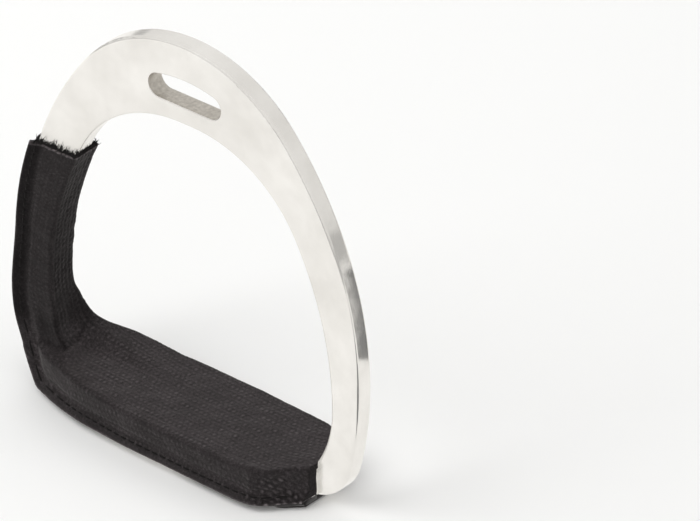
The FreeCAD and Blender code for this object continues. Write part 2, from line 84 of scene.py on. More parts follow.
# The cover stands off the foot by the slack, which fades in down these heights and across these X.
SLACK = 4.4
SLACK_Z = (62.0, 22.0)
SLACK_X = (-48.0, -60.0)


def fade(value, start, full):
    """0 before start and 1 after full, with a smooth step between; either may be the larger."""
    t = np.clip((value - start) / (full - start), 0, 1)
    return t * t * (3 - 2 * t)


def branch_x(arc, z):
    centre_x, centre_z, radius = arc
    return centre_x - np.sqrt(radius**2 - (z - centre_z) ** 2)


def underside_z(x):
    """The outer rail's height under the tread, rising at both rounded feet."""
    over = np.maximum(np.abs(x) - FOOT_X, 0)
    return FOOT_RADIUS - np.sqrt(FOOT_RADIUS**2 - np.minimum(over, FOOT_RADIUS) ** 2)


CORNER_Z = TREAD_Z + CORNER_RADIUS
CORNER_X = branch_x(INNER_ARC, CORNER_Z) + CORNER_RADIUS


def run_of(points):
    """Each point's distance along a polyline."""
    steps = np.linalg.norm(np.diff(points, axis=0), axis=1)
    return np.concatenate([[0], np.cumsum(steps)])


def outer_corner_path():
    """Points down the outside of the foot, from the height of the corner to under it."""
    side_z = np.linspace(CORNER_Z, SIDE_END_Z, SIDE_COUNT)
    side = np.stack([branch_x(OUTER_ARC, side_z), side_z], 1)
    start = math.atan2(FOOT_RADIUS - SIDE_END_Z, -side[-1, 0] - FOOT_X)
    stop = math.acos((-CORNER_X - FOOT_X) / FOOT_RADIUS)
    turn = np.linspace(start, stop, FOOT_COUNT)[1:]
    foot_x = -FOOT_X - FOOT_RADIUS * np.cos(turn)
    foot_z = FOOT_RADIUS * (1 - np.sin(turn))
    return np.concatenate([side, np.stack([foot_x, foot_z], 1)])


def resampled(points, at):
    """Points at shares of a polyline's length, from 0 to 1."""
    along = run_of(points)
    return np.stack([np.interp(at * along[-1], along, points[:, k]) for k in (0, 1)], 1)


def bulged(inner, outer):
    """The outer rail pushed out round the slack foot, but not under the floor."""
    way = outer - inner
    way /= np.linalg.norm(way, axis=1)[:, None]
    push = SLACK * fade(outer[:, 1], *SLACK_Z) * fade(outer[:, 0], *SLACK_X)
    pushed = outer + way * push[:, None]
    under = pushed[:, 1] < 0
    pushed[under] -= way[under] * (pushed[under, 1] / way[under, 1])[:, None]
    return pushed


def stations(branch_step, corner_count, tread_step):
    """(inner points, outer points, length along the inner rail), from the top to the free end."""
    z = np.linspace(COVER_TOP, CORNER_Z, round((COVER_TOP - CORNER_Z) / branch_step) + 1)
    share = np.linspace(0, 1, corner_count + 2)[1:-1]
    turn = share * math.pi / 2
    corner_x = CORNER_X - CORNER_RADIUS * np.cos(turn) ** CORNER_SQUARE
    corner_z = CORNER_Z - CORNER_RADIUS * np.sin(turn) ** CORNER_SQUARE
    x = np.linspace(CORNER_X, COVER_END, round((COVER_END - CORNER_X) / tread_step) + 1)
    inner = np.concatenate(
        [
            np.stack([branch_x(INNER_ARC, z), z], 1),
            np.stack([corner_x, corner_z], 1),
            np.stack([x, np.full_like(x, TREAD_Z)], 1),
        ]
    )
    outer = np.concatenate(
        [
            np.stack([branch_x(OUTER_ARC, z), z], 1),
            resampled(outer_corner_path(), share),
            np.stack([x, underside_z(x)], 1),
        ]
    )
    return inner, bulged(inner, outer), run_of(inner)


# ---------------------------------------------------------------- the cover's depth

# Half the cover's depth at the front and at the back, by X along the tread.
FRONT_PLAN = np.array(
    [
        (-76, 5.2), (-68, 5.8), (-60, 9.9), (-50, 13.4), (-42, 15.7), (-30, 18.1), (-15, 20.2),
        (0, 21.0), (20, 21.7), (33, 21.5), (38, 21.0), (42, 20.2), (44, 19.0), (46, 16.9),
        (48, 14.5), (52, 10.0), (54, 8.6), (57, 7.6),
    ]
)
BACK_PLAN = np.array(
    [
        (-76, 5.4), (-68, 6.2), (-60, 10.0), (-55, 13.4), (-51, 15.8), (-45.6, 17.9), (-38, 19.0),
        (-30, 19.8), (-15, 20.3), (0, 20.2), (12, 20.0), (22, 19.5), (30, 18.9), (38, 18.4),
        (44, 17.3), (50, 14.2), (54, 10.6), (57, 9.2),
    ]
)
# Half the cover's depth on the branch, by height.
BRANCH_DEPTH = np.array([(0, 5.2), (18, 5.3), (40, 5.9), (75, 6.0), (96, 6.1)])
# The plan takes over from the branch's depth at a ledge in front of the branch, and slowly behind
# it: the ledge's top above the tread, and its height.
FRONT_LEDGE = (2.0, 2.2)
BACK_LEDGE = (27.0, 18.0)


def smooth_table(table, at):
    """A curve through a table's points, without corners."""
    x, y = table[:, 0], table[:, 1]
    slope = np.gradient(y, x)
    i = np.clip(np.searchsorted(x, at) - 1, 0, len(x) - 2)
    width = x[i + 1] - x[i]
    t = np.clip((at - x[i]) / width, 0, 1)
    return (
        (1 + 2 * t) * (1 - t) ** 2 * y[i]
        + t * (1 - t) ** 2 * width * slope[i]
        + t**2 * (3 - 2 * t) * y[i + 1]
        + t**2 * (t - 1) * width * slope[i + 1]
    )


def half_depth(x, z, hand):
    """The depth of the cover's outer face at the front (hand -1) or at the back (hand 1)."""
    plan, (rise, height) = (FRONT_PLAN, FRONT_LEDGE) if hand < 0 else (BACK_PLAN, BACK_LEDGE)
    top = TREAD_Z + rise
    branch = smooth_table(BRANCH_DEPTH, z)
    tread = np.maximum(smooth_table(plan, x), branch)
    return branch + (tread - branch) * fade(z, top, top - height)


# ---------------------------------------------------------------- sections across the cover

WEBBING = 1.2
VINYL = 1.1
# The webbing's rounded edge between its face and its walls.
FOLD = 1.4
# The seam's lip: its length on the webbing and on the vinyl, its turn out of the section by X, and
# how far its tip lies inside the outer rail on the branch and on the tread.
LIP = 4.6
VINYL_LIP = 2.6
LIP_TURN = np.array(
    [
        (-76, 29), (-60, 31), (-52, 42), (-40, 38), (-28, 26), (-15, 19), (10, 17), (25, 20),
        (35, 29), (46, 34), (51, 46), (57, 52),
    ]
)
TIP_BACK_BRANCH = 1.1
TIP_BACK_TREAD = 2.5
TIP_RISE = 12.0
# The vinyl's rounded edge: flatter at the foot, between these X and heights, and at the free end,
# where it turns outward.
VINYL_ROUND = 5.0
ROUND_LOST_AT_FOOT = 3.6
ROUND_FOOT_X = (-42.0, -50.0)
ROUND_FOOT_Z = (46.0, 26.0)
ROUND_LOST_AT_END = 6.8
ROUND_END_X = (38.0, 50.0)

# The webbing's columns, from a raw edge: the lip, the wall with a pull at the seam, and the fold.
LIP_COLUMNS = 8
WALL_COLUMNS = 11
FOLD_COLUMNS = 5
SEAM_PULL = 0.55
SEAM_PULL_WIDTH = 1.1
FACE_COUNT = 92
# The weave's pitch along and across the cloth.
WEFT = 2.08
WARP = 1.85
# The two panels' stations: the step on the branch, the count in the corner, the step on the tread.
WEAVE_STATIONS = (WEFT / 4, 24, WEFT / 4)
VINYL_STATIONS = (1.0, 36, 1.1)

# The inner rail as it runs at the back edge, where the webbing bridges the inside corner. The
# bridge fades in across these depths, and fades out down the wall over these shares of it.
BACK_BRIDGE = np.array(
    [
        (-60.0, 37.0), (-59.5, 33.0), (-58.8, 29.2), (-57.9, 26.6), (-56.6, 24.7), (-54.6, 22.9),
        (-50.8, 20.8), (-45.4, 18.7), (-40.0, 17.4), (-33.0, 16.4), (-24.0, 15.4), (-12.0, 14.8),
    ]
)
BRIDGE_Y = (1.0, 9.0)
BRIDGE_WALL = (1.3, 0.3)
BRIDGE_WALL_SHARE = 0.8
CORNER_SIDE_X = -50

# The free end's hem: the half width and the heights that it is turned in to, and its shape.
HEM_STEPS = 7
HEM_HALF = 4.4
HEM_DROP = 1.9
HEM_BOTTOM = 2.4
HEM_LIFT = 1.2
HEM_OUT = 0.2
HEM_POWER = 1.5
HEM_CLOTH_STEP = 0.7
NO_TOP = 99.0

# Points closer than this are one point.
COINCIDENT = 2e-4

# The noise is a sum of waves with random ways, phases and frequencies between these.
NOISE_WAVES = 7
NOISE_FREQUENCY = (0.6, 1.6)
NOISE_LEVEL = 1.5


def lattice_noise(points, seed, scale):
    """Smooth noise, mostly from -1 to 1, for a set of points: the same on each run."""
    rng = np.random.default_rng(seed)
    p = np.asarray(points, float) / scale
    total = np.zeros(len(p))
    for _ in range(NOISE_WAVES):
        way = rng.normal(size=p.shape[1])
        way *= rng.uniform(*NOISE_FREQUENCY) / np.linalg.norm(way)
        total += np.sin(2 * math.pi * (p @ way) + rng.uniform(0, 2 * math.pi))
    return total / NOISE_WAVES**0.5 / NOISE_LEVEL


def grid_noise(grid, seed, scale):
    """The same noise on a grid of points."""
    flat = lattice_noise(grid.reshape(-1, grid.shape[2]), seed, scale)
    return flat.reshape(grid.shape[:2])


class Frame:
    """A row of stations with what every section across the cover needs."""

    def __init__(self, branch_step, corner_count, tread_step):
        self.inner, self.outer, self.along = stations(branch_step, corner_count, tread_step)
        self.across = self.outer - self.inner
        self.depth = np.linalg.norm(self.across, axis=1)
        self.across /= self.depth[:, None]
        x, z = self.outer.T
        lean = fade(self.inner[:, 1], TREAD_Z, TREAD_Z + TIP_RISE)
        self.tip = self.depth - (TIP_BACK_TREAD + (TIP_BACK_BRANCH - TIP_BACK_TREAD) * lean)
        turn = np.radians(smooth_table(LIP_TURN, x))
        self.lip_way = np.cos(turn), np.sin(turn)
        self.base = self.tip - LIP * self.lip_way[0]
        at_foot = fade(x, *ROUND_FOOT_X) * fade(z, *ROUND_FOOT_Z)
        at_end = fade(x, *ROUND_END_X)
        lost = ROUND_LOST_AT_FOOT * at_foot, ROUND_LOST_AT_END * at_end
        self.vinyl_round = VINYL_ROUND - lost[0] - lost[1]

    def at(self, n):
        """The XZ points at distances n from the inner rail, one for each station."""
        return self.inner + self.across * np.asarray(n)[:, None]

    def wall(self, n, hand):
        """The depth of the cover's outer face at distances n."""
        p = self.at(n)
        return half_depth(p[:, 0], p[:, 1], hand)

    def placed(self, n, y):
        """Points in 3D from distances n and depths y, one for each station."""
        p = self.at(n)
        return np.stack([p[:, 0], y, p[:, 1]], 1)


def webbing_columns(f, hand):
    """Half a section of the webbing's outer face, from a lip's raw edge to the face's edge."""
    wall_at_base = f.wall(f.base, hand)
    columns = []
    for share in np.linspace(0, 1, LIP_COLUMNS):
        out = LIP * (1 - share)
        columns.append((f.base + out * f.lip_way[0], wall_at_base + out * f.lip_way[1]))
    for share in np.linspace(0, 1, WALL_COLUMNS + 1)[1:]:
        n = f.base + (FOLD - f.base) * share
        pull = SEAM_PULL * np.exp(-(((f.base - n) / SEAM_PULL_WIDTH) ** 2))
        columns.append((n, f.wall(n, hand) - pull))
    for turn in np.radians(np.linspace(0, 90, FOLD_COLUMNS + 1)[1:]):
        n = FOLD * (1 - math.sin(turn)) * np.ones_like(f.depth)
        columns.append((n, f.wall(n, hand) - FOLD * (1 - math.cos(turn))))
    return columns


def back_bridge(f):
    """How far the inner rail moves, in X and Z, to bridge the inside corner at the back edge."""
    x, z = f.inner.T
    first = int(np.argmin(np.abs(z - BACK_BRIDGE[0, 1]) + 100 * (x > CORNER_SIDE_X)))
    last = int(np.argmin(np.abs(x - BACK_BRIDGE[-1, 0])))
    span = slice(first, last + 1)
    share = (f.along[span] - f.along[first]) / (f.along[last] - f.along[first])
    move = np.zeros_like(f.inner)
    move[span] = resampled(BACK_BRIDGE, share) - f.inner[span]
    move[span] -= np.outer(1 - share, move[first]) + np.outer(share, move[last])
    for _ in range(2):
        move[1:-1] = (move[:-2] + 2 * move[1:-1] + move[2:]) / 4
    return move


def run_lengths(grid):
    """Each point's distance along its row from the row's first point."""
    steps = np.linalg.norm(np.diff(grid, axis=1), axis=2)
    return np.concatenate([np.zeros((len(grid), 1)), np.cumsum(steps, axis=1)], 1)


def on_cloth(along, across):
    """Each point's place on the flat cloth, from each row's length and each point's."""
    return np.stack(np.broadcast_arrays(along[:, None], across), 2)


def webbing_grid(f):
    """The webbing's outer face as a grid of points, with each point's place on the flat cloth and
    the count of columns before the face starts."""
    front_half, back_half = (webbing_columns(f, hand) for hand in (-1, 1))
    edge_front, edge_back = -front_half[-1][1], back_half[-1][1]
    shares = np.linspace(0, 1, FACE_COUNT + 1)[1:-1]
    face = [(np.zeros_like(f.depth), edge_front + (edge_back - edge_front) * s) for s in shares]
    columns = [(n, -y) for n, y in front_half] + face + back_half[::-1]
    grid = np.stack([f.placed(n, y) for n, y in columns], 1)
    wall_share = np.stack([n for n, _ in columns], 1) / (BRIDGE_WALL_SHARE * f.base[:, None])
    bridge = fade(grid[..., 1], *BRIDGE_Y) * fade(wall_share, *BRIDGE_WALL)
    grid[..., ::2] += back_bridge(f)[:, None, :] * bridge[..., None]
    across = run_lengths(grid)
    middle = across[:, len(front_half) + FACE_COUNT // 2 - 1][:, None]
    return grid, on_cloth(f.along, across - middle), len(front_half)


def hemmed(grid, cloth, top, bottom):
    """The grid with the free end turned in against the casting, between two heights."""
    last, flat = grid[-1], cloth[-1]
    goal = last.copy()
    goal[:, 1] = np.clip(last[:, 1], -HEM_HALF, HEM_HALF)
    goal[:, 2] = np.clip(last[:, 2], bottom, top)
    rows, flats = [], []
    for k in range(1, HEM_STEPS + 1):
        share = k / HEM_STEPS
        row = last + (goal - last) * share**HEM_POWER
        row[:, 0] += HEM_OUT * math.sin(math.pi * min(share, 0.5))
        rows.append(row)
        flats.append(flat + [k * HEM_CLOTH_STEP, 0])
    return np.concatenate([grid, np.stack(rows)]), np.concatenate([cloth, np.stack(flats)])


def grid_normals(grid):
    """The grid's normals, from the rows' and the columns' ways."""
    normal = np.cross(np.gradient(grid, axis=0), np.gradient(grid, axis=1))
    return normal / np.maximum(np.linalg.norm(normal, axis=2, keepdims=True), 1e-9)


def from_edge(grid):
    """How many columns each column lies in from the nearer raw edge."""
    column = np.arange(grid.shape[1])
    return np.minimum(column, column[::-1])


def linked(name, data):
    """A new object in the scene."""
    obj = bpy.data.objects.new(name, data)
    bpy.context.scene.collection.objects.link(obj)
    return obj


def mesh_object(name, points, faces):
    """A new object in the scene with a mesh of points in metres."""
    mesh = bpy.data.meshes.new(name)
    mesh.from_pydata(points, [], faces)
    mesh.update()
    return linked(name, mesh)


def shade_smooth(mesh):
    mesh.polygons.foreach_set("use_smooth", np.ones(len(mesh.polygons), bool))


def add_uv(mesh, cloth):
    """A UV map of the cloth's own coordinates, in metres."""
    layer = mesh.uv_layers.new(name="cloth")
    corner = np.zeros(len(mesh.loops), np.int32)
    mesh.loops.foreach_get("vertex_index", corner)
    layer.data.foreach_set("uv", (cloth.reshape(-1, 2)[corner] * MM).astype(np.float32).ravel())


def slab(name, top, bottom, cloth):
    """A closed sheet from its outer and its inner grid, which share their place on the cloth."""
    rows, cols = top.shape[:2]
    end, side = rows - 1, cols - 1

    def at(layer, i, j):
        return (layer * rows + i) * cols + j

    cells = [(i, j) for i in range(end) for j in range(side)]
    faces = [
        (at(0, i + 1, j), at(0, i + 1, j + 1), at(0, i, j + 1), at(0, i, j)) for i, j in cells
    ]
    faces += [
        (at(1, i, j + 1), at(1, i + 1, j + 1), at(1, i + 1, j), at(1, i, j)) for i, j in cells
    ]
    for j in range(side):
        faces.append((at(1, 0, j + 1), at(1, 0, j), at(0, 0, j), at(0, 0, j + 1)))
        faces.append((at(1, end, j), at(1, end, j + 1), at(0, end, j + 1), at(0, end, j)))
    for i in range(end):
        faces.append((at(1, i, 0), at(1, i + 1, 0), at(0, i + 1, 0), at(0, i, 0)))
        faces.append((at(1, i + 1, side), at(1, i, side), at(0, i, side), at(0, i + 1, side)))
    points = np.stack([top, bottom]).reshape(-1, 3) * MM
    obj = mesh_object(name, points.tolist(), faces)
    add_uv(obj.data, np.stack([cloth, cloth]))
    shade_smooth(obj.data)
    return obj


def merge_points(obj):
    """Merges the points that lie on each other, so that no face is without an area."""
    shape = bmesh.new()
    shape.from_mesh(obj.data)
    bmesh.ops.remove_doubles(shape, verts=shape.verts, dist=COINCIDENT * MM)
    shape.to_mesh(obj.data)
    shape.free()


# ---------------------------------------------------------------- materials

# The cast walls of the eye: half the box round them. No polisher reaches them.
EYE_HALF = (16.5, 3.4, 8.0)
EYE_ROUGHER = 0.3
# The size of the strands in the webbing's yarns.
STRAND_WEFT = 0.26
STRAND_WARP = 0.23
# How far the yarns wander, in millimetres.
YARN_DRIFT = 1.1
# How much of the weave's shade comes from its picks, its ends and their crossings.
SHADE_WEFT = 0.16
SHADE_WARP = 0.24
SHADE_KNOT = 0.40
SHADE_RELIEF = 0.46
SHADE_MIDDLE = 0.44
SHADE_CLOUD = 0.5
SHADE_STREAK = 0.5
SHADE_FUZZ = 2.0
# Each crossing's own strength: the least, and the random part.
CROSSING_LEAST = 0.15
CROSSING_SPREAD = 1.3
# How many strips to a metre the streaks have along and across the cloth.
STREAK_ALONG = 90.0
STREAK_ACROSS = 700.0
# The thread's twist: its pitch and its lean.
PLY_PITCH = 0.55
PLY_LEAN = 1.6


class Nodes:
    """Short calls for building a material's nodes."""

    def __init__(self, name):
        self.material = bpy.data.materials.new(name)
        self.material.use_nodes = True
        self.tree = self.material.node_tree
        self.principled = self.tree.nodes["Principled BSDF"]

    def add(self, kind, **settings):
        node = self.tree.nodes.new(kind)
        for key, value in settings.items():
            setattr(node, key, value)
        return node

    def feed(self, node, socket, source):
        if isinstance(source, bpy.types.NodeSocket):
            self.tree.links.new(source, node.inputs[socket])
        else:
            node.inputs[socket].default_value = source

    def surface(self, **inputs):
        """Feeds the surface's inputs, named with underscores in place of spaces."""
        for name, source in inputs.items():
            self.feed(self.principled, name.replace("_", " "), source)

    def math(self, operation, *values):
        node = self.add("ShaderNodeMath", operation=operation)
        for k, value in enumerate(values):
            self.feed(node, k, value)
        return node.outputs[0]

    def swing(self, value, amount):
        """A noise from 0 to 1 as a change either way, the amount from end to end."""
        return self.math("MULTIPLY", self.math("SUBTRACT", value, 0.5), amount)

    def joined(self, x, y):
        node = self.add("ShaderNodeCombineXYZ")
        self.feed(node, 0, x)
        self.feed(node, 1, y)
        return node.outputs[0]

    def noise(self, vector, scale, detail, roughness):
        node = self.add("ShaderNodeTexNoise")
        self.feed(node, "Vector", vector)
        self.feed(node, "Scale", scale)
        self.feed(node, "Detail", detail)
        self.feed(node, "Roughness", roughness)
        return node.outputs["Fac"]

    def cells(self, vector, scale, feature):
        node = self.add("ShaderNodeTexVoronoi", feature=feature)
        self.feed(node, "Vector", vector)
        self.feed(node, "Scale", scale)
        return node.outputs["Distance"]

    def ramp(self, value, *stops):
        """A colour from a value, by (position, colour) stops."""
        node = self.add("ShaderNodeValToRGB")
        self.feed(node, "Fac", value)
        elements = node.color_ramp.elements
        while len(elements) < len(stops):
            elements.new(0.5)
        for element, (position, colour) in zip(elements, stops):
            element.position = position
            element.color = (*colour, 1)
        return node.outputs["Color"]

    def bump(self, height, strength, distance, normal=None):
        """A normal bent by a height, with the distance in millimetres."""
        node = self.add("ShaderNodeBump")
        self.feed(node, "Height", height)
        self.feed(node, "Strength", strength)
        self.feed(node, "Distance", distance * MM)
        if normal is not None:
            self.feed(node, "Normal", normal)
        return node.outputs["Normal"]

    def place(self):
        return self.add("ShaderNodeTexCoord").outputs["Object"]

    def eye_walls(self, place):
        """1 on the cast walls of the eye, and 0 elsewhere."""
        split = self.add("ShaderNodeSeparateXYZ")
        self.feed(split, 0, place)
        inside = 1.0
        for axis, centre in enumerate(mounts["leather_eye"]["pos_m"]):
            off = self.math("ABSOLUTE", self.math("SUBTRACT", split.outputs[axis], centre))
            near = self.math("LESS_THAN", off, EYE_HALF[axis] * MM)
            inside = self.math("MULTIPLY", near, inside)
        return inside

    def cloth(self):
        """(along, across) in metres on the flat cloth."""
        uv = self.add("ShaderNodeUVMap", uv_map="cloth").outputs["UV"]
        split = self.add("ShaderNodeSeparateXYZ")
        self.feed(split, 0, uv)
        return split.outputs["X"], split.outputs["Y"]

    def wave(self, value, pitch):
        """A cosine with the given pitch in millimetres, from -1 to 1."""
        return self.math("COSINE", self.math("MULTIPLY", value, 2 * math.pi / (pitch * MM)))


def polished_aluminium():
    m = Nodes("polished_aluminium")
    place = m.place()
    cloud = m.noise(place, 55.0, 4.0, 0.55)
    fine = m.noise(place, 900.0, 3.0, 0.6)
    in_eye = m.eye_walls(place)
    colour = m.add("ShaderNodeMix", data_type="RGBA")
    m.feed(colour, "Factor", in_eye)
    m.feed(colour, 6, m.ramp(cloud, (0.3, (0.81, 0.797, 0.768)), (0.7, (0.93, 0.92, 0.895))))
    m.feed(colour, 7, m.ramp(fine, (0.3, (0.47, 0.445, 0.405)), (0.7, (0.68, 0.65, 0.60))))
    rough = m.math("MULTIPLY_ADD", fine, 0.06, 0.11)
    waves = m.bump(m.noise(place, 70.0, 2.0, 0.5), 0.25, 0.8)
    m.surface(
        Base_Color=colour.outputs[2],
        Metallic=0.8,
        Roughness=m.math("ADD", rough, m.math("MULTIPLY", in_eye, EYE_ROUGHER)),
        Normal=m.bump(fine, 0.06, 0.1, waves),
    )
    return m.material


def webbing_material():
    m = Nodes("black_webbing")
    along, across = m.cloth()
    place = m.place()
    bent = m.swing(m.noise(place, 220.0, 2.0, 0.5), YARN_DRIFT * MM)
    along, across = m.math("ADD", along, bent), m.math("SUBTRACT", across, bent)
    weft, warp = m.wave(along, WEFT), m.wave(across, WARP)
    knot = m.math("MULTIPLY", weft, m.wave(across, 2 * WARP))

    # The weave's relief, each crossing with its own strength and scaled by the painted shade.
    relief = m.math(
        "ADD", m.math("MULTIPLY", weft, SHADE_WEFT), m.math("MULTIPLY", warp, SHADE_WARP)
    )
    relief = m.math("ADD", relief, m.math("MULTIPLY", knot, SHADE_KNOT))
    crossing = m.joined(
        m.math("ROUND", m.math("DIVIDE", along, WEFT * MM)),
        m.math("ROUND", m.math("DIVIDE", across, WARP * MM)),
    )
    each = m.add("ShaderNodeTexWhiteNoise", noise_dimensions="2D")
    m.feed(each, "Vector", crossing)
    own = m.math("MULTIPLY", each.outputs["Value"], CROSSING_SPREAD)
    own = m.math("ADD", own, CROSSING_LEAST)
    painted_shade_factor = m.add("ShaderNodeAttribute", attribute_name="painted_shade").outputs["Fac"]
    relief = m.math("MULTIPLY", m.math("MULTIPLY", relief, own), painted_shade_factor)

    # The strands of whichever yarn lies on top.
    warp_up = m.math("GREATER_THAN", m.math("ADD", weft, warp), 0.0)
    strands = m.math(
        "ADD",
        m.math("MULTIPLY", m.wave(along, STRAND_WEFT), m.math("SUBTRACT", 1.0, warp_up)),
        m.math("MULTIPLY", m.wave(across, STRAND_WARP), warp_up),
    )

    fuzz = m.noise(place, 1500.0, 4.0, 0.7)
    strips = m.joined(
        m.math("MULTIPLY", along, STREAK_ALONG), m.math("MULTIPLY", across, STREAK_ACROSS)
    )
    shade = m.math("MULTIPLY_ADD", relief, SHADE_RELIEF, SHADE_MIDDLE)
    shade = m.math("ADD", shade, m.swing(m.noise(place, 90.0, 4.0, 0.6), SHADE_CLOUD))
    shade = m.math("ADD", shade, m.swing(m.noise(strips, 1.0, 3.0, 0.6), SHADE_STREAK))
    shade = m.math("ADD", shade, m.swing(fuzz, SHADE_FUZZ))
    colour = m.ramp(
        shade,
        (0.0, (0.0074, 0.0054, 0.0056)),
        (0.45, (0.0232, 0.0184, 0.0196)),
        (1.0, (0.064, 0.054, 0.057)),
    )
    # The colour darkened by painted shade on the lips, walls, branch, crease and hem; the specular
    # level follows it.
    painted_shade_colour = m.add("ShaderNodeVectorMath", operation="SCALE")
    m.feed(painted_shade_colour, 0, colour)
    m.feed(painted_shade_colour, "Scale", painted_shade_factor)
    woven = m.bump(strands, 0.35, 0.04, m.bump(relief, 0.5, 0.12))
    m.surface(
        Base_Color=painted_shade_colour.outputs[0],
        Roughness=0.62,
        Specular_IOR_Level=m.math("MULTIPLY", painted_shade_factor, 0.26),
        Sheen_Weight=0.03,
        Sheen_Roughness=0.45,
        Sheen_Tint=(0.55, 0.50, 0.52, 1),
        Normal=m.bump(fuzz, 0.6, 0.08, woven),
    )
    return m.material


def vinyl_material():
    m = Nodes("black_vinyl")
    place = m.place()
    grain = m.cells(place, 1100.0, "SMOOTH_F1")
    folds = m.noise(place, 120.0, 4.0, 0.55)
    m.surface(
        Base_Color=m.ramp(folds, (0.3, (0.012, 0.010, 0.010)), (0.75, (0.024, 0.021, 0.021))),
        Roughness=m.math("MULTIPLY_ADD", folds, 0.25, 0.26),
        Specular_IOR_Level=0.3,
        Coat_Weight=0.08,
        Coat_Roughness=0.2,
        Normal=m.bump(grain, 0.25, 0.06, m.bump(folds, 0.5, 0.6)),
    )
    return m.material


def thread_material():
    m = Nodes("thread")
    along, across = m.cloth()
    ply = m.wave(m.math("ADD", along, m.math("MULTIPLY", across, PLY_LEAN)), PLY_PITCH)
    fuzz = m.noise(m.place(), 4000.0, 2.0, 0.5)
    shade = m.math("MULTIPLY_ADD", ply, 0.35, 0.5)
    m.surface(
        Base_Color=m.ramp(shade, (0.1, (0.004, 0.0035, 0.0035)), (0.9, (0.014, 0.012, 0.012))),
        Roughness=0.75,
        Specular_IOR_Level=0.12,
        Normal=m.bump(fuzz, 0.3, 0.04, m.bump(ply, 0.6, 0.1)),
    )
    return m.material


def foam_material():
    m = Nodes("pad_foam")
    bubbles = m.cells(m.place(), 1600.0, "F1")
    m.surface(
        Base_Color=m.ramp(bubbles, (0.1, (0.010, 0.010, 0.010)), (0.7, (0.040, 0.040, 0.040))),
        Roughness=0.9,
        Normal=m.bump(bubbles, 0.6, 0.2),
    )
    return m.material


# ---------------------------------------------------------------- the webbing panel

# The seam: the stitches' pitch and length, the ends it leaves free, and its place on the lip.
STITCH_PITCH = 3.6
STITCH_LENGTH = 2.7
SEAM_END = 2.4
SEAM_REACH = 1.9

# The webbing's unevenness: (seed, size, height) of its slack and of its puckers.
WEBBING_SLACK = (4, 26.0, 0.20)
WEBBING_PUCKER = (9, 9.0, 0.12)
# Creases and a fold at the inside corner, in plan: start, end, width and height. They fade in
# down these heights above the tread, and fade out towards the back.
CREASES = (
    ((-55.6, -4.4), (-55.2, 11.0), 0.9, 0.45),
    ((-65.5, -5.4), (-55.6, -4.4), 1.0, 0.60),
)
CORNER_FOLD = ((-53.4, -6.4), (-52.8, 11.0), 1.3, 0.55)
CREASE_RISE = (16.0, 8.0)
CREASE_Y = (9.5, 4.5)
# A lump at the front, near the free end: X, Y, width and height.
LUMP = (39.6, -20.0, 2.0, 0.9)

# The yarns' wander, as a share of their pitch: (seed, size) along and across.
WANDER = 0.16
WANDER_ALONG = (31, 5.0)
WANDER_ACROSS = (32, 4.2)
# Each crossing's own height, from a table of random numbers.
PICK_SEED = 7
PICK_TABLE = (256, 128)
PICK_RANGE = (0.25, 1.3)
# The relief's parts: picks, ends and crossings. Its height on the lip and walls, and on the face.
RELIEF_WEFT = 0.15
RELIEF_WARP = 0.3
RELIEF_KNOT = 0.55
RELIEF_LIP = 0.06
RELIEF_WALL = 0.07
RELIEF_FACE = 0.12
# How much higher the relief is on the end's front corner and on the branch's face.
RELIEF_MORE_AT_END = 1.3
RELIEF_MORE_ON_BRANCH = 0.9
END_X = (36.0, 46.0)
END_Y = (-8.0, -12.0)
END_BELOW = (2.0, 4.0)
BRANCH_RISE = (3.0, 13.0)
# Painted shade in the webbing's colour, from the raw edge over the lip and the wall to the face.
PAINTED_SHADE_COLUMNS = (0, 1, 6, 8)
# The lip and the walls darker than the face, and the raw edge lighter.
PAINTED_SHADE_LEVELS = (1.5, 0.5, 0.5, 0.76, 0.76, 0.95)
# Factors on the tread and less on the branch: painted shade, darker on the branch's lips, walls
# and face.
PAINTED_SHADE_LIP = (1.45, 0.80)
PAINTED_SHADE_WALL = (1.0, 0.26)
PAINTED_SHADE_FACE = (1.05, 0.37)
# Painted shade in the crease's pocket at the inside corner.
PAINTED_CREASE_SHADE = 0.7
# Lighter and darker specks of the weave on the end's front corner, and their range.
END_SPECKS = 0.9
END_SPECK_RANGE = (-0.5, 1.0)
# Lighter along the top rows.
LIGHTER_TOP_ROWS = 2
TOP_ROWS_LIGHTER = 3.5
# Painted shade on the turned-in hem at the free end.
PAINTED_HEM_SHADE = 0.6
# Darker on the cover's inside faces.
DARKER_INSIDE = 0.7


def ridge(plan, start, stop, width, height):
    """A rounded ridge along a line in plan."""
    start, stop = np.array(start), np.array(stop)
    way = stop - start
    share = np.clip(((plan - start) @ way) / (way @ way), 0, 1)
    off = np.linalg.norm(plan - start - share[..., None] * way, axis=-1)
    return height * np.exp(-((off / width) ** 2))


def add_painted_shade(obj, amount):
    """The painted shade that scales the webbing's colour, on the outer grid's points and inside.
    """
    values = np.full(len(obj.data.vertices), DARKER_INSIDE, np.float32)
    values[: amount.size] = amount.ravel()
    obj.data.attributes.new("painted_shade", "FLOAT", "POINT").data.foreach_set("value", values)


weave_frame = Frame(*WEAVE_STATIONS)
base_grid, weave, half_count = webbing_grid(weave_frame)
base_grid, weave = hemmed(base_grid, weave, TREAD_Z - HEM_DROP, HEM_BOTTOM)
normals = grid_normals(base_grid)
edge_column = from_edge(base_grid)
plan, height = base_grid[..., :2], base_grid[..., 2]

slack = grid_noise(base_grid, *WEBBING_SLACK[:2])
pucker = grid_noise(base_grid, *WEBBING_PUCKER[:2])
corner = fade(height, TREAD_Z + CREASE_RISE[0], TREAD_Z + CREASE_RISE[1])
corner *= fade(plan[..., 1], *CREASE_Y)
crease = sum(ridge(plan, *line) for line in CREASES)
lump_x, lump_y, lump_width, lump_height = LUMP
lump_off = np.hypot(plan[..., 0] - lump_x, plan[..., 1] - lump_y)
lump = lump_height * np.exp(-((lump_off / lump_width) ** 2))
uneven = WEBBING_SLACK[2] * slack + WEBBING_PUCKER[2] * pucker + lump
uneven += (ridge(plan, *CORNER_FOLD) - crease) * corner
middle = base_grid + normals * uneven[..., None]

